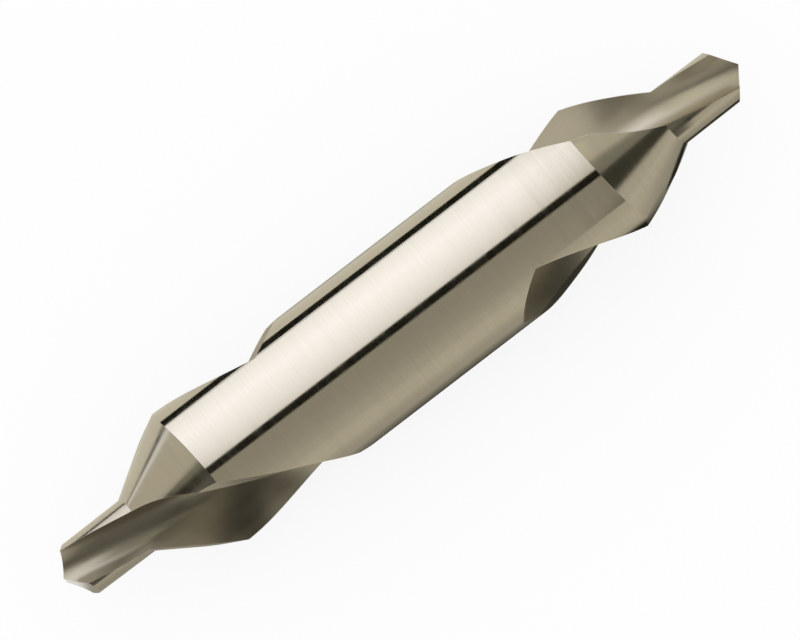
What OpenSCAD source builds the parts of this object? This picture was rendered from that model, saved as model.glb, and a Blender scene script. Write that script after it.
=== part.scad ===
// Double-ended centre drill, form A, ground from one bar of high-speed steel.
// The axis lies along X with the origin at mid-length. Turning the +X end by
// half a turn about Z gives the -X end, so both ends cut right-handed.

/* [Body] */
// Length over both points
overall_length = 53.5; // [50:0.5:62]
// Diameter of the ground body
body_d = 10; // [9:0.1:12]

/* [Pilot] */
// Diameter of the pilot over its lips
pilot_d = 4; // [3.2:0.1:5]
// Length of a pilot with its point
pilot_length = 5.5; // [4.5:0.1:7]
// Distance off centre at which the pilot's lands are ground
pilot_offset = 0.1; // [0.05:0.01:0.2]
// Angle between the two lips of the point
point_angle = 118; // [110:1:130]
// Angle at which each flank of the point falls away behind its lip
flank_relief = 20; // [16:1:30]

/* [Countersink] */
// Angle of the cone that the countersink lips cut
sink_angle = 60; // [50:1:75]
// Distance off centre at which the countersink's lands are ground
sink_offset = 0.5; // [0.2:0.05:0.7]

/* [Flutes] */
// Travel along the axis for one full turn of a flute
flute_lead = 54.5; // [45:0.5:80]
// Turn of the first flute about the axis at the root of the countersink
flute_clock = 122; // [0:1:360]
// Thickness of the web left between the two flutes
web = 1; // [0.8:0.05:1.4]
// Radius at the bottom of a flute
flute_root_r = 1.5; // [1.2:0.1:1.8]
// Angle of the cutting wall from the middle of the flute
lip_wall = 42; // [36:1:46]
// Angle of the heel wall from the middle of the flute
heel_wall = 25; // [20:1:35]
// Depth of the chamfer that breaks the heel of a land
heel_chamfer = 0.75; // [0.3:0.05:1]
// Angle of that chamfer from the middle of the flute
chamfer_angle = 80; // [70:1:88]

/* [Run-out of the flutes] */
// Distance from mid-length to where the middle of a flute ends
flute_end = 6.8; // [5:0.05:10]
// Length over which the flat rim of the wheel lifts out of a flute
runout_length = 5.5; // [3:0.25:8]
// Height that its shaped sides climb meanwhile, which narrows the flute
runout_rise = 1.6; // [0.8:0.1:2.2]

/* [Hidden] */

// Segments of a full circle on the turned faces
round_fn = 96;
// Room by which a cutting shape stands clear of the steel
clear = 1;
// Segments round the bottom of a flute, along its heel wall and along the others
root_steps = 8;
heel_steps = 2;
wall_steps = 4;
// Turn by which the high line of a relieved land runs ahead of its lip
lip_lead = 8;
// Rings along the lift of a flute, and their spacing along its helix
runout_steps = 12;
ring_step = 1.25;

body_r = body_d / 2;
pilot_r = pilot_d / 2;
sink_slope = tan(sink_angle / 2);
sink_length = (body_r - pilot_r) / sink_slope;
tip_z = overall_length / 2;
neck_z = tip_z - pilot_length;
sink_z = neck_z - sink_length;

// Radius of the countersink's lips at a height on the axis
function sink_r(z) = body_r - (z - sink_z) * sink_slope;

// The section of a flute has p outwards along its middle and q across it
twist = 360 / flute_lead;
root_p = web / 2 + flute_root_r;
top_p = body_r + 1.5 * clear;

// Turn from the flute's middle to where a wall meets a circle about the axis
function wall_turn(wall, r) = wall + asin((flute_root_r - root_p * sin(wall)) / r);
// Turn of the flute's middle at a height on the axis
function flute_turn(z) = flute_clock + twist * (z - sink_z);
// Turn of the lip that follows a flute, at a height and a radius
function lip_turn(z, r) = flute_turn(z) + 180 - wall_turn(lip_wall, r);

function polar(r, turn) = [r * cos(turn), r * sin(turn)];
// Points from a up to b, without b itself
function stretch(a, b, steps) = [for (i = [0 : steps - 1]) a + (b - a) * i / steps];
// Point on the round bottom of a flute
function root_point(turn) = [root_p, 0] - polar(flute_root_r, -turn);

lip_foot = root_point(lip_wall - 90);
lip_top = lip_foot + (top_p - lip_foot[0]) / cos(lip_wall) * polar(1, -lip_wall);
heel_foot = root_point(90 - heel_wall);
heel_r = body_r - heel_chamfer;
skew = 2 * PI * heel_r / flute_lead;
heel_brink = polar(heel_r, wall_turn(heel_wall, heel_r));
brink_top = heel_brink + polar(body_r, chamfer_angle);
flute_section = concat(
    stretch(lip_top, lip_foot, wall_steps),
    [for (i = [0 : root_steps - 1])
        root_point(lip_wall - 90 + (180 - lip_wall - heel_wall) * i / root_steps)],
    stretch(heel_foot, heel_brink, heel_steps),
    stretch(heel_brink, brink_top, wall_steps),
    [brink_top, [top_p, brink_top[1]]]
);

lift_s = flute_end + runout_length;
last_s = tip_z + clear + skew * brink_top[1];
straight_steps = ceil((last_s - lift_s) / ring_step);

// Each ring has its place along the flute, the climb of its walls and the height
// of its flat floor. Both rise as a wheel's round does, and the first ring is clear
// of the body.
flute_rings = concat(
    [for (i = [-1 : runout_steps - 1]) let (v = i / runout_steps, lift = pow(1 - v, 2))
        [flute_end + runout_length * v, runout_rise * lift, web / 2 + (body_r - web / 2) * lift]],
    [for (i = [0 : straight_steps])
        [lift_s + (last_s - lift_s) * i / straight_steps, 0, web / 2]]
);

// A point of the section, set square to the helix, raised and turned with it
function swept(pt, ring) =
    let (z = ring[0] - skew * pt[1], a = flute_turn(z), p = max(pt[0] + ring[1], ring[2]))
    [p * cos(a) - pt[1] * sin(a), p * sin(a) + pt[1] * cos(a), z];

// One helical flute, from beyond the point to where the wheel lifts out
module flute() {
    n = len(flute_section);
    m = len(flute_rings);
    heart = [heel_r, 0];
    points = concat(
        [for (ring = flute_rings) for (pt = flute_section) swept(pt, ring)],
        [swept(heart, flute_rings[0]), swept(heart, flute_rings[m - 1])]
    );
    sides = [for (j = [0 : m - 2]) for (i = [0 : n - 1]) let (k = (i + 1) % n)
        each [[j * n + i, j * n + k, (j + 1) * n + k], [j * n + i, (j + 1) * n + k, (j + 1) * n + i]]];
    start = [for (i = [0 : n - 1]) [m * n, (i + 1) % n, i]];
    end = [for (i = [0 : n - 1]) [m * n + 1, (m - 1) * n + i, (m - 1) * n + (i + 1) % n]];
    polyhedron(points, concat(sides, start, end));
}

// A turned shape with two lands, each backed off behind its lip by being ground
// off centre. The lips have radius r0 at z0 and r1 at z1.
module relieved(z0, r0, z1, r1, offset) {
    t0 = lip_turn(z0, r0) + 90 + lip_lead;
    t1 = lip_turn(z1, r1) + 90 + lip_lead;
    from = [offset * cos(t0), offset * sin(t0), z0];
    axis = [offset * cos(t1), offset * sin(t1), z1] - from;
    gain = offset * sin(lip_lead);
    intersection_for(side = [0, 180])
        rotate(side) translate(from)
            rotate([0, acos(axis[2] / norm(axis)), atan2(axis[1], axis[0])])
                cylinder(h = norm(axis), r1 = r0 + gain, r2 = r1 + gain, $fn = round_fn);
}

// What is ground away round a countersink
module countersink_waste() {
    from = sink_z - (sink_offset + clear) / sink_slope;
    to = neck_z + 1.5 * clear;
    difference() {
        translate([0, 0, from]) cylinder(h = neck_z + clear - from, r = body_d, $fn = round_fn);
        relieved(from - clear, sink_r(from - clear), to, sink_r(to), sink_offset);
    }
}

// The small drill in front of a countersink, before its point is ground
module pilot() {
    relieved(sink_z, pilot_r, tip_z, pilot_r, pilot_offset);
}

// What is ground away over the two flat flanks, which meet at the chisel edge
module flank_waste() {
    lip_line = lip_turn(tip_z, pilot_r) - asin(web / pilot_d);
    along = 1 / tan(point_angle / 2);
    behind = tan(flank_relief);
    for (side = [0, 180])
        translate([0, 0, tip_z])
            rotate([0, atan(norm([along, behind])), lip_line - atan(behind / along) + side])
                translate([-body_d, -body_d, 0]) cube([2 * body_d, 2 * body_d, body_d]);
}

// Places a shape that points along +Z at both ends of the tool
module both_ends() {
    for (turn = [0, 180]) rotate([0, 90, turn]) children();
}

module centre_drill() {
    color([0.62, 0.58, 0.5])
        difference() {
            union() {
                difference() {
                    rotate([0, 90, 0])
                        cylinder(h = 2 * neck_z + clear, r = body_r, center = true, $fn = round_fn);
                    both_ends() countersink_waste();
                }
                both_ends() pilot();
            }
            both_ends() for (side = [0, 180]) rotate(side) flute();
            both_ends() flank_waste();
        }
}

centre_drill();
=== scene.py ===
import math

import bmesh
import bpy
from mathutils import Matrix, Vector


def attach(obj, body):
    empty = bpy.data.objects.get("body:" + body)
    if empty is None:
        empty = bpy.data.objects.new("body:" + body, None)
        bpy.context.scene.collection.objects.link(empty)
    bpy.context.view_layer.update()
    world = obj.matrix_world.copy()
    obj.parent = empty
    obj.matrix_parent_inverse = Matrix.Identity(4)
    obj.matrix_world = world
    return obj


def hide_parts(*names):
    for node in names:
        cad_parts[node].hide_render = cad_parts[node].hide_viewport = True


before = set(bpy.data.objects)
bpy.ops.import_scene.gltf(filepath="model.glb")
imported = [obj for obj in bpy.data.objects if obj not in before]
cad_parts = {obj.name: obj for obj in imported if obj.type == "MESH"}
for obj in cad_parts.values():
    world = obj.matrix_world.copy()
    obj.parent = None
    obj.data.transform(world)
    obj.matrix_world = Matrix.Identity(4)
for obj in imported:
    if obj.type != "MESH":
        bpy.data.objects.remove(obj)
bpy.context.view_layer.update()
bpy.ops.object.select_all(action="DESELECT")

# Body. A round bar of high-speed steel, hardened and then ground true between
# centres. It is one piece with both cutting ends, and the plain round stretch in
# the middle is what a collet grips. The wheel leaves fine rings round its skin.
mm = 0.001
body_r = 5 * mm
tip_z = 26.75 * mm
pilot_length = 5.5 * mm
neck_z = tip_z - pilot_length
round_steps = 192
# Room by which a cutting shape stands clear of the steel
clear = 1 * mm

steel = (0.69, 0.65, 0.57, 1)
steel_dim = (0.55, 0.51, 0.43, 1)
steel_worn = (0.8, 0.77, 0.7, 1)
# Shares of the wheel's lines, its bands and larger clouds in the colour
line_share = 0.5
band_share = 0.3
cloud_share = 0.2
cloud_size = 6 * mm
# Roughness that they and the wear add, round the middle of the noise
noise_middle = 0.5
band_roughness = 0.1
cloud_roughness = 0.08
wear_roughness = 0.12
# Reach of the wear from an edge, how sharply it begins and its least share
wear_reach = 0.09 * mm
wear_samples = 8
wear_sharpness = 6
wear_least = 0.5


class Shade:
    """A socket of a material. Arithmetic on it adds Math nodes."""

    def __init__(self, tree, socket=None):
        self.tree = tree
        self.socket = socket

    def node(self, kind, settings=None, inputs=None, output=0):
        """Adds a node with its settings, then the values or links of its inputs."""
        made = self.tree.nodes.new(kind)
        for name, value in (settings or {}).items():
            setattr(made, name, value)
        for name, value in (inputs or {}).items():
            if isinstance(value, Shade):
                self.tree.links.new(value.socket, made.inputs[name])
            else:
                made.inputs[name].default_value = value
        return Shade(self.tree, made.outputs[output] if made.outputs else None)

    def maths(self, operation, *values):
        return self.node("ShaderNodeMath", {"operation": operation}, dict(enumerate(values)))

    def __add__(self, other):
        return self.maths("ADD", self, other)

    def __radd__(self, other):
        return self.maths("ADD", other, self)

    def __sub__(self, other):
        return self.maths("SUBTRACT", self, other)

    def __rsub__(self, other):
        return self.maths("SUBTRACT", other, self)

    def __mul__(self, other):
        return self.maths("MULTIPLY", self, other)

    def __rmul__(self, other):
        return self.maths("MULTIPLY", other, self)


def new_material(name):
    """An empty material, and the shade with which its nodes begin."""
    made = bpy.data.materials.new(name)
    made.use_nodes = True
    made.node_tree.nodes.clear()
    return made, Shade(made.node_tree)


def ground_steel(name, across, along, rough, line_height, turn=None):
    """Ground steel whose wheel lines are across apart, in bands that are along wide.

    across and along hold a length in metres for each axis of the part. With turn, in
    radians for each metre, the lines wind round the axis of the tool as its flutes do.
    """
    made, shade = new_material(name)
    place = shade.node("ShaderNodeTexCoord", output="Object")
    if turn is not None:
        x = shade.node("ShaderNodeSeparateXYZ", inputs={"Vector": place}, output="X")
        place = shade.node(
            "ShaderNodeVectorRotate",
            {"rotation_type": "X_AXIS"},
            {"Vector": place, "Angle": x * -turn},
        )

    def noise(lengths, detail):
        stretched = shade.node(
            "ShaderNodeMapping", inputs={"Vector": place, "Scale": [1 / n for n in lengths]}
        )
        return shade.node(
            "ShaderNodeTexNoise", inputs={"Vector": stretched, "Scale": 1, "Detail": detail}
        )

    lines = noise(across, detail=3)
    bands = noise(along, detail=2)
    clouds = noise((cloud_size, cloud_size, cloud_size), detail=3)
    colour = shade.node(
        "ShaderNodeMix",
        {"data_type": "RGBA"},
        {
            "Factor": lines * line_share + bands * band_share + clouds * cloud_share,
            "A": steel_dim,
            "B": steel,
        },
        output="Result",
    )
    rounded = shade.node("ShaderNodeBevel", {"samples": wear_samples}, {"Radius": wear_reach})
    flat = shade.node("ShaderNodeNewGeometry", output="Normal")
    alike = shade.node(
        "ShaderNodeVectorMath", {"operation": "DOT_PRODUCT"}, {0: rounded, 1: flat}, output="Value"
    )
    worn = shade.node("ShaderNodeClamp", inputs={"Value": (1 - alike) * wear_sharpness})
    colour = shade.node(
        "ShaderNodeMix",
        {"data_type": "RGBA"},
        {
            "Factor": worn * (wear_least + bands * (1 - wear_least)),
            "A": colour,
            "B": steel_worn,
        },
        output="Result",
    )
    bump = shade.node(
        "ShaderNodeBump", inputs={"Height": lines, "Distance": line_height, "Strength": 1}
    )
    roughness = (
        rough
        + (bands - noise_middle) * band_roughness
        + (clouds - noise_middle) * cloud_roughness
        + worn * wear_roughness
    )
    steel_shader = shade.node(
        "ShaderNodeBsdfPrincipled",
        inputs={"Base Color": colour, "Metallic": 1, "Roughness": roughness, "Normal": bump},
    )
    shade.node("ShaderNodeOutputMaterial", inputs={"Surface": steel_shader})
    return made


bpy.ops.mesh.primitive_cylinder_add(
    vertices=round_steps,
    radius=body_r,
    depth=2 * neck_z + clear,
    rotation=(0, math.pi / 2, 0),
)
bpy.ops.object.transform_apply(rotation=True)
drill = bpy.context.object
drill.name = "ground_centre_drill"
drill.data.materials.append(
    ground_steel(
        "body_ground",
        across=(0.06 * mm, 6 * mm, 6 * mm),
        along=(0.5 * mm, 12 * mm, 12 * mm),
        rough=0.09,
        line_height=0.00004 * mm,
    )
)

# Countersinks. A 60 degree cone at each end, with two lands that are backed off
# behind their lips: each land is ground about a line that lies off the tool's axis
# and winds with the flutes. The marks of that wheel run round the cone.
sink_slope = math.tan(math.radians(30))
sink_offset = 0.5 * mm
# Lengths of its own by which the cone is drawn out backwards, to take in the body
sink_back = 3.5
pilot_r = 2 * mm
sink_z = neck_z - (body_r - pilot_r) / sink_slope
flute_lead = 54.5 * mm
flute_turn = 2 * math.pi / flute_lead
flute_clock = math.radians(122) - flute_turn * sink_z
web = 1 * mm
root_r = 1.5 * mm
root_p = web / 2 + root_r
lip_wall = math.radians(42)
lip_lead = math.radians(8)
# The two ends of the tool, and the two sides of each end, are half a turn apart
half_turns = (0, math.pi)

land_finish = ground_steel(
    "lands_ground",
    across=(0.09 * mm, 4 * mm, 4 * mm),
    along=(0.7 * mm, 5 * mm, 5 * mm),
    rough=0.17,
    line_height=0.0002 * mm,
)


def wall_turn(wall, r):
    """Turn from the middle of a flute to where its wall meets a circle of radius r."""
    return wall + math.asin((root_r - root_p * math.sin(wall)) / r)


def land_centre(z, r, offset):
    """The point off the axis about which a land of radius r is ground at height z."""
    lip = flute_clock + flute_turn * z + math.pi - wall_turn(lip_wall, r)
    high = lip + math.pi / 2 + lip_lead
    return Vector((offset * math.cos(high), offset * math.sin(high), z))


def land_solid(z0, r0, z1, r1, offset, back):
    """A cone or cylinder round the line of a land, drawn out by back times its length."""
    top = land_centre(z1, r1, offset)
    foot = land_centre(z0, r0, offset)
    foot = foot + (foot - top) * back
    r0 = r0 + (r0 - r1) * back
    gain = offset * math.sin(lip_lead)
    axis = top - foot
    bpy.ops.mesh.primitive_cone_add(
        vertices=round_steps,
        radius1=r0 + gain,
        radius2=r1 + gain,
        depth=axis.length,
        location=(foot + top) / 2,
        rotation=axis.to_track_quat("Z", "Y").to_euler(),
    )
    bpy.ops.object.transform_apply(location=True, rotation=True)
    made = bpy.context.object
    made.data.materials.append(land_finish)
    return made


def sink_r(z):
    """Radius of the countersink's lips at height z."""
    return body_r - (z - sink_z) * sink_slope


def placed_copy(piece, end, side):
    """A copy of a piece that points along +Z, turned to a side and set at an end."""
    made = piece.copy()
    made.data = piece.data.copy()
    bpy.context.collection.objects.link(made)
    bpy.ops.object.select_all(action="DESELECT")
    made.select_set(True)
    bpy.context.view_layer.objects.active = made
    made.rotation_euler.z += side
    bpy.ops.object.transform_apply(location=True, rotation=True, scale=True)
    made.rotation_euler = (0, math.pi / 2, end)
    bpy.ops.object.transform_apply(rotation=True)
    return made


def combine(piece, operation, tool):
    """Joins, cuts or clips the piece by a tool, whose faces keep their own finish."""
    step = piece.modifiers.new(operation, "BOOLEAN")
    step.operation = operation
    step.object = tool
    step.solver = "EXACT"
    step.material_mode = "TRANSFER"
    bpy.context.view_layer.objects.active = piece
    bpy.ops.object.modifier_apply(modifier=step.name)
    bpy.data.objects.remove(tool)


sink_from = sink_z - (sink_offset + clear) / sink_slope - clear
sink_to = neck_z + 1.5 * clear
cone = land_solid(sink_from, sink_r(sink_from), sink_to, sink_r(sink_to), sink_offset, sink_back)
for end in half_turns:
    for side in half_turns:
        combine(drill, "INTERSECT", placed_copy(cone, end, side))
bpy.data.objects.remove(cone)

# Pilots. The short drill in front of each countersink, ground in one with it, with
# its two lands backed off a little in the same way.
pilot_offset = 0.1 * mm
pilot_land = land_solid(sink_z, pilot_r, tip_z, pilot_r, pilot_offset, back=0)
for end in half_turns:
    pilot, other_land = (placed_copy(pilot_land, end, side) for side in half_turns)
    combine(pilot, "INTERSECT", other_land)
    combine(drill, "UNION", pilot)
bpy.data.objects.remove(pilot_land)

# Flutes. Two right-hand helical grooves at each end, which carry the chips away. A
# shaped wheel grinds each from the point, over the countersink, and its flat rim
# lifts out of the body square to the helix, so its marks run along the groove.
heel_wall = math.radians(25)
heel_chamfer = 0.75 * mm
chamfer_turn = math.radians(80)
flute_end = 6.8 * mm
runout_length = 5.5 * mm
runout_rise = 1.6 * mm
ring_step = 0.35 * mm
runout_steps = 24
rings_before = 2
root_steps = 20
wall_cuts = 11
# Edges of the round root are shorter than this, and those of the walls longer
root_edge = 0.5 * mm
# Points closer than this are one
same_place = 0.001 * mm
heel_r = body_r - heel_chamfer
top_p = body_r + 1.5 * clear
heel_turn = wall_turn(heel_wall, heel_r)
heel_brink = Vector((heel_r * math.cos(heel_turn), heel_r * math.sin(heel_turn), 0))
brink_top = heel_brink + body_r * Vector((math.cos(chamfer_turn), math.sin(chamfer_turn), 0))
lip_way = Vector((math.cos(lip_wall), -math.sin(lip_wall), 0))
skew = flute_turn * heel_r
tilt = math.atan(skew)

flute_finish = ground_steel(
    "flutes_ground",
    across=(8 * mm, 0.08 * mm, 0.08 * mm),
    along=(15 * mm, 0.6 * mm, 0.6 * mm),
    rough=0.33,
    line_height=0.00012 * mm,
    turn=flute_turn,
)


def pick(edit, kind, chosen):
    """Selects the vertices, edges or faces for which chosen is true."""
    for group in (edit.faces, edit.edges, edit.verts):
        for item in group:
            item.select = False
    for item in getattr(edit, kind):
        if chosen(item):
            item.select_set(True)
    edit.select_flush_mode()


def first_point(start):
    """Begins a drawn outline with one point, and leaves it open for editing."""
    bpy.ops.mesh.primitive_plane_add(size=1 * mm, location=start)
    made = bpy.context.object
    bpy.ops.object.transform_apply(location=True)
    bpy.ops.object.mode_set(mode="EDIT")
    bpy.ops.mesh.select_mode(type="VERT")
    bpy.ops.mesh.merge(type="CENTER")
    return made


def draw_on(piece, start, moves):
    """Draws an outline on from its point start, by one straight line for each move."""
    for move in moves:
        edit = bmesh.from_edit_mesh(piece.data)
        pick(edit, "verts", lambda v: (v.co - start).length < same_place)
        bpy.ops.mesh.extrude_region_move(TRANSFORM_OT_translate={"value": move})
        start = start + move


def fill_outline():
    """Fills the drawn outline with one face, and leaves all of it selected."""
    bpy.ops.mesh.select_all(action="SELECT")
    bpy.ops.mesh.edge_face_add()


def draw_out(moves):
    """Draws a filled outline out into a solid, by one stretch for each move."""
    bpy.ops.mesh.select_mode(type="FACE")
    bpy.ops.mesh.select_all(action="SELECT")
    for move in moves:
        bpy.ops.mesh.extrude_region_move(TRANSFORM_OT_translate={"value": move})
    bpy.ops.mesh.select_all(action="SELECT")
    bpy.ops.mesh.normals_make_consistent(inside=False)
    bpy.ops.object.mode_set(mode="OBJECT")


def steps_between(points):
    """The moves that lead from each point to the next."""
    return [far - near for near, far in zip(points, points[1:])]


# The wheel's section, from its round root up both walls, then tilted to the helix
root_centre = Vector((root_p, 0, 0))
lip_foot = root_centre + root_r * Vector((-math.sin(lip_wall), -math.cos(lip_wall), 0))
heel_foot = root_centre + root_r * Vector((-math.sin(heel_wall), math.cos(heel_wall), 0))
heel_top = Vector((top_p, brink_top.y, 0))
wheel = first_point(lip_foot)
bpy.ops.mesh.spin(
    steps=root_steps,
    angle=math.pi - lip_wall - heel_wall,
    center=root_centre,
    axis=(0, 0, 1),
)
draw_on(wheel, lip_foot, [lip_way * ((top_p - lip_foot.x) / lip_way.x)])
draw_on(wheel, heel_foot, steps_between([heel_foot, heel_brink, brink_top, heel_top]))
edit = bmesh.from_edit_mesh(wheel.data)
pick(edit, "edges", lambda e: e.calc_length() > root_edge)
bpy.ops.mesh.subdivide(number_cuts=wall_cuts)
fill_outline()
bpy.ops.transform.rotate(value=tilt, orient_axis="X", center_override=(0, 0, 0))
stretch = 1 / math.cos(tilt)
bpy.ops.transform.resize(value=(1, stretch, stretch), center_override=(0, 0, 0))

# Its way along the flute: each place has the share of the lift that is left there
last_s = tip_z + clear + skew * brink_top.y
lift_s = flute_end + runout_length
straight_steps = math.ceil((last_s - lift_s) / ring_step)
lifts = [
    (flute_end + runout_length * i / runout_steps, (1 - i / runout_steps) ** 2)
    for i in range(-rings_before, runout_steps + 1)
]
places = [Vector((runout_rise * lift, 0, s)) for s, lift in lifts]
for i in range(straight_steps):
    places.append(Vector((0, 0, lift_s + (last_s - lift_s) * (i + 1) / straight_steps)))
bpy.ops.mesh.select_all(action="SELECT")
bpy.ops.transform.translate(value=places[0])
draw_out(steps_between(places))

# What the flat rim of the wheel reaches: it lifts from the web out of the body
rim_half = 10 * mm
rim_steps = 40
rim_drop = Vector((-0.3 * mm, 0, 0.5 * mm))
rim_top = 2 * body_r
rim_line = [Vector((web / 2 + (body_r - web / 2) * lift, 0, s)) for s, lift in lifts]
rim_line.insert(0, rim_line[0] + Vector((clear, 0, -clear)))
rim_line.append(rim_line[-1] + rim_drop)
rim_line.append(Vector((rim_line[-1].x, 0, last_s + 2 * clear)))
rim_line.append(Vector((rim_top, 0, rim_line[-1].z)))
rim_line.append(Vector((rim_top, 0, rim_line[0].z)))
rim_way = Vector((0, rim_half, -skew * rim_half))
rim = first_point(rim_line[0] - rim_way)
draw_on(rim, rim_line[0] - rim_way, steps_between(rim_line))
fill_outline()
draw_out([rim_way * (2 / rim_steps)] * rim_steps)

# The groove is what both take in, wound round the axis
for piece in (wheel, rim):
    piece.data.materials.append(flute_finish)
combine(wheel, "INTERSECT", rim)
bpy.ops.object.mode_set(mode="EDIT")
bpy.ops.mesh.select_all(action="SELECT")
bpy.ops.mesh.quads_convert_to_tris()
bpy.ops.object.mode_set(mode="OBJECT")
twist = wheel.modifiers.new("twist", "SIMPLE_DEFORM")
twist.deform_method = "TWIST"
twist.deform_axis = "Z"
twist.angle = flute_turn * wheel.dimensions.z
bpy.ops.object.modifier_apply(modifier=twist.name)
wheel.rotation_euler = (0, 0, flute_clock)
for end in half_turns:
    for side in half_turns:
        combine(drill, "DIFFERENCE", placed_copy(wheel, end, side))
bpy.data.objects.remove(wheel)

# Points. Each pilot ends in two flat flanks, ground at 118 degrees on the face of a
# wheel, which fall away behind the lips and meet in a short chisel edge.
point_half = math.radians(59)
flank_relief = math.radians(20)
flank_wide = 4 * body_r
flank_deep = 2 * body_r
flank_finish = ground_steel(
    "flanks_ground",
    across=(3 * mm, 0.05 * mm, 3 * mm),
    along=(4 * mm, 0.4 * mm, 4 * mm),
    rough=0.22,
    line_height=0.0002 * mm,
)
fall_along = 1 / math.tan(point_half)
fall_behind = math.tan(flank_relief)
lip_line = (
    flute_clock + flute_turn * tip_z + math.pi
    - wall_turn(lip_wall, pilot_r) - math.asin(web / (2 * pilot_r))
)
bpy.ops.mesh.primitive_cube_add(
    size=1,
    location=(0, 0, flank_deep / 2),
    scale=(flank_wide, flank_wide, flank_deep),
)
bpy.ops.object.transform_apply(location=True, rotation=True, scale=True)
flank = bpy.context.object
flank.data.materials.append(flank_finish)
flank.location = (0, 0, tip_z)
flank.rotation_euler = (
    0,
    math.atan(math.hypot(fall_along, fall_behind)),
    lip_line - math.atan(fall_behind / fall_along),
)
for end in half_turns:
    for side in half_turns:
        combine(drill, "DIFFERENCE", placed_copy(flank, end, side))
bpy.data.objects.remove(flank)

# Finished tool. The grinding leaves every face meeting its neighbour in a crisp
# edge, and each face is smooth along itself.
crease = math.radians(25)
merge_gap = 0.0005 * mm
bpy.ops.object.select_all(action="DESELECT")
drill.select_set(True)
bpy.context.view_layer.objects.active = drill
bpy.ops.object.mode_set(mode="EDIT")
bpy.ops.mesh.select_all(action="SELECT")
bpy.ops.mesh.remove_doubles(threshold=merge_gap)
bpy.ops.mesh.normals_make_consistent(inside=False)
bpy.ops.object.mode_set(mode="OBJECT")
bpy.ops.object.shade_smooth_by_angle(angle=crease)
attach(drill, "root")
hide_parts("centre_drill")

# Floor. A plain white table top, on which the tool lies on its round body. It keeps
# a faint soft shadow.
floor_size = 4
floor_tone = (0.9, 0.9, 0.9, 1)
white = (1, 1, 1, 1)
white_share = 0.86
bpy.ops.mesh.primitive_plane_add(size=floor_size, location=(0, 0, -body_r))
floor = bpy.context.object
floor.name = "floor"
floor_finish, shade = new_material("floor_white")
camera_ray, glossy_ray, transmission_ray = (
    shade.node("ShaderNodeLightPath", output=f"Is {ray} Ray")
    for ray in ("Camera", "Glossy", "Transmission")
)
seen = shade.maths("MAXIMUM", camera_ray, shade.maths("MAXIMUM", glossy_ray, transmission_ray))
floor_paint = shade.node("ShaderNodeBsdfDiffuse", inputs={"Color": floor_tone})
floor_white = shade.node("ShaderNodeEmission", inputs={"Color": white, "Strength": 1})
floor_mix = shade.node(
    "ShaderNodeMixShader", inputs={0: seen * white_share, 1: floor_paint, 2: floor_white}
)
shade.node("ShaderNodeOutputMaterial", inputs={"Surface": floor_mix})
floor.data.materials.append(floor_finish)

# Light tent. Warm grey cloth all round, which the steel mirrors, with cards hung in it
# that draw its dark lines and shade its flutes. The camera doesn't see them, and they
# throw no shadow.
camera_turn = 10.5
lean = math.radians(camera_turn)
rise = Vector((0, math.cos(lean), math.sin(lean)))
tent_size = 2
tent_grey = (0.57, 0.535, 0.44)
black = (0.012, 0.012, 0.008)
dusk = (0.05, 0.048, 0.035)
flute_shade = (0.1, 0.096, 0.078)
pilot_shade = (0.2, 0.195, 0.15)
half_grey = (0.26, 0.25, 0.2)
grey = (0.365, 0.343, 0.28)
mid_grey = (0.49, 0.46, 0.372)
pale_grey = (0.54, 0.507, 0.415)
painted_floor_shadow_grey = (0.38, 0.36, 0.3)
floor_pale = (0.6, 0.565, 0.46)
pilot_white = (0.7, 0.66, 0.56)
back_white = (0.74, 0.708, 0.598)
tip_white = (0.75, 0.72, 0.58)


def hang(card, radiance, far=None, stretch=(0, 1), soft=None):
    """Makes a stage card that only the steel's reflections show.

    With far, its tone passes to that one along rise, over the stretch given. With
    soft, a centre and three radii, it fades away round that centre. Stretch, centre
    and radii are in millimetres.
    """
    made, shade = new_material(card.name)
    glow = shade.node("ShaderNodeEmission", inputs={"Color": (*radiance, 1), "Strength": 1})
    place = shade.node("ShaderNodeTexCoord", output="Object")
    if far is not None:
        across = shade.node(
            "ShaderNodeVectorMath", {"operation": "DOT_PRODUCT"}, {0: place, 1: rise}, output="Value"
        )
        share = shade.node(
            "ShaderNodeMapRange",
            inputs={"Value": across, "From Min": stretch[0] * mm, "From Max": stretch[1] * mm},
        )
        far_glow = shade.node("ShaderNodeEmission", inputs={"Color": (*far, 1), "Strength": 1})
        glow = shade.node("ShaderNodeMixShader", inputs={0: share, 1: glow, 2: far_glow})
    if soft is not None:
        centre, radii = soft
        out = shade.node(
            "ShaderNodeMapping",
            {"vector_type": "TEXTURE"},
            {"Vector": place, "Location": Vector(centre) * mm, "Scale": Vector(radii) * mm},
        )
        away = shade.node("ShaderNodeVectorMath", {"operation": "LENGTH"}, {0: out}, output="Value")
        share = shade.node("ShaderNodeClamp", inputs={"Value": (1 - away) * 2})
        clear_card = shade.node("ShaderNodeBsdfTransparent")
        glow = shade.node("ShaderNodeMixShader", inputs={0: share, 1: clear_card, 2: glow})
    shade.node("ShaderNodeOutputMaterial", inputs={"Surface": glow})
    card.data.materials.append(made)
    card.visible_camera = False
    card.visible_diffuse = False
    card.visible_shadow = False


def flat_card(name, x, y, height, turn):
    """A card square to a line that leaves the axis at a turn from straight up.

    Its reach along x and y and its height on that line are in millimetres, and the
    turn is in degrees.
    """
    bpy.ops.mesh.primitive_plane_add(size=1)
    card = bpy.context.object
    card.name = name
    card.scale = ((x[1] - x[0]) * mm, (y[1] - y[0]) * mm, 1)
    card.location = ((x[0] + x[1]) / 2 * mm, (y[0] + y[1]) / 2 * mm, height * mm)
    bpy.ops.object.transform_apply(location=True, rotation=True, scale=True)
    card.rotation_euler = (math.radians(turn), 0, 0)
    bpy.ops.object.transform_apply(rotation=True)
    return card


bpy.ops.mesh.primitive_cube_add(size=tent_size)
tent = bpy.context.object
tent.name = "tent"
hang(tent, tent_grey)

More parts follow.
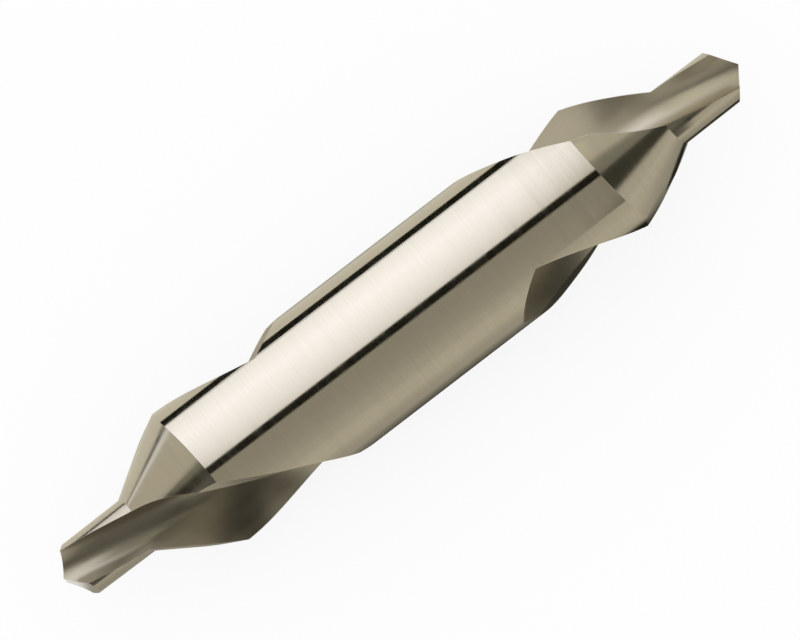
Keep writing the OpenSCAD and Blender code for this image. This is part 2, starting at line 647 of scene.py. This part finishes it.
# Plain cards, each with its reach along and across the tool, height, turn and tone
high = 260
low = -4.9
plain_cards = (
    ("camera_card", (-40, 26), (-27, 24), high, camera_turn, black),
    ("camera_shade", (-200, -94), (-100, 120), high + 1, camera_turn, black),
    ("left_end_card", (-700, -220), (-120, 100), high, camera_turn, black),
    ("right_end_card", (380, 700), (-260, 15), high, camera_turn, dusk),
    ("right_front_card", (26, 380), (-450, 22), high, camera_turn, black),
    ("right_top_card", (45, 330), (22, 110), high, camera_turn, black),
    ("half_card", (330, 700), (15, 190), high, camera_turn, half_grey),
    ("front_right_card", (120, 260), (-50, 110), high, camera_turn + 65, dusk),
    ("left_back_card", (-280, -170), (-160, 160), high, camera_turn - 60, pilot_white),
    ("left_flute_card", (-30, -16.6), (-20, 8.4), 12, camera_turn + 30, flute_shade),
    ("left_pilot_card", (-23, -16.6), (0, 17), 12.5, camera_turn - 5, pilot_shade),
    ("left_tip_card", (-34, -23), (0, 3), 12.5, camera_turn - 5, pilot_shade),
    ("right_pilot_card", (16.5, 22.3), (-4, 4), 12, camera_turn + 60, flute_shade),
    ("right_tip_card", (20, 27.5), (-6, 6), 12.5, camera_turn - 35, tip_white),
    ("far_strip", (-60, 60), (30, 200), low, 0, black),
    ("back_floor", (-200, 200), (1.2, 30), low, 0, back_white),
)
for *place, tone in plain_cards:
    hang(flat_card(*place), tone)

# A black card upright at the right end
end_wall = flat_card("end_wall", (-300, 5), (-300, 120), 720, 0)
end_wall.rotation_euler = (0, math.pi / 2, 0)
bpy.ops.object.transform_apply(rotation=True)
hang(end_wall, black)

# Cards in front of the tool that pass from one tone to another
front_card = flat_card("front_card", (-100, 26), (-450, -27), high + 2, camera_turn)
hang(front_card, mid_grey, far=grey, stretch=(-450, -100))
front_top_card = flat_card("front_top_card", (-100, 26), (-900, -450), high + 2, camera_turn)
hang(front_top_card, pale_grey, far=mid_grey, stretch=(-900, -450))
# The floor card in front darkens towards the tool. This is a painted shadow beside it, which only
# the steel's reflections show.
front_floor = flat_card("front_floor", (-400, 400), (-900, -1.2), low, 0)
hang(front_floor, floor_pale, far=painted_floor_shadow_grey, stretch=(-26, -6))

# Painted shadows on the floor, which only the steel's reflections show: a soft one under the body
# and one beside the end of a flute. A black card at the foot of the right cone, a painted shadow
# too, lies level with the second and is made after it.
under_height = low + 0.02
painted_contact_shadow = flat_card("painted_contact_shadow", (-25, 25), (-10, 10), under_height, 0)
hang(painted_contact_shadow, dusk, soft=((0, 0, under_height), (25, 10, 10)))
foot_height = low + 0.05
painted_flute_end_shadow = flat_card("painted_flute_end_shadow", (4, 24), (-18, -1), foot_height, 0)
hang(painted_flute_end_shadow, black, soft=((14, -8.5, foot_height), (8, 8, 8)))
painted_cone_foot_shadow = flat_card("painted_cone_foot_shadow", (20, 40), (-5.7, -3), foot_height, 0)
hang(painted_cone_foot_shadow, black)

# Lamp. A soft strip lamp hangs above and behind the tool, with its long side across
# it, and lays the bright band along the body. Round the tent all is plain white.
lamp_turn = lean - math.radians(63)
lamp_far = 380 * mm
lamp_wide = 64 * mm
lamp_long = 872 * mm
lamp_shift = Vector((-5 * mm, -149 * mm, 0))
lamp_radiance = 0.71
lamp_spread = math.radians(143)
lamp_tone = (0.81, 0.85, 1)
lamp_data = bpy.data.lights.new("lamp", "AREA")
lamp_data.shape = "RECTANGLE"
lamp_data.size = lamp_wide
lamp_data.size_y = lamp_long
lamp_data.energy = lamp_radiance * math.pi * lamp_wide * lamp_long
lamp_data.spread = lamp_spread
lamp_data.color = lamp_tone
lamp = bpy.data.objects.new("lamp", lamp_data)
bpy.context.scene.collection.objects.link(lamp)
lamp.matrix_world = Matrix.Rotation(lamp_turn, 4, "X") @ Matrix.Translation(
    lamp_shift + Vector((0, 0, lamp_far))
)
world = bpy.data.worlds.new("studio")
bpy.context.scene.world = world
world.use_nodes = True
world.node_tree.nodes["Background"].inputs["Color"].default_value = white

# Camera. A long lens looks down on the tool, square to its axis, and is rolled so
# that the tool lies across the frame from lower left to upper right.
frame_px = Vector((800, 640))
tool_px = Vector((401.8, 322.4))
px_per_metre = 15.85 / mm
lens = 500
sensor = 36
roll = math.radians(37.5)
clip_far = 10
back = Vector((0, -math.sin(lean), math.cos(lean)))
right = math.cos(roll) * Vector((1, 0, 0)) - math.sin(roll) * rise
up = math.sin(roll) * Vector((1, 0, 0)) + math.cos(roll) * rise
distance = lens / sensor * frame_px.x / px_per_metre
off_centre = (frame_px / 2 - tool_px) / px_per_metre
camera_data = bpy.data.cameras.new("camera")
camera_data.lens = lens
camera_data.sensor_width = sensor
camera_data.clip_start = 1 * mm
camera_data.clip_end = clip_far
camera = bpy.data.objects.new("camera", camera_data)
bpy.context.scene.collection.objects.link(camera)
camera.matrix_world = Matrix.Translation(
    distance * back + off_centre.x * right - off_centre.y * up
) @ Matrix((right, up, back)).transposed().to_4x4()
bpy.context.scene.camera = camera

# Plain tones in the picture
bpy.context.scene.view_settings.view_transform = "Standard"
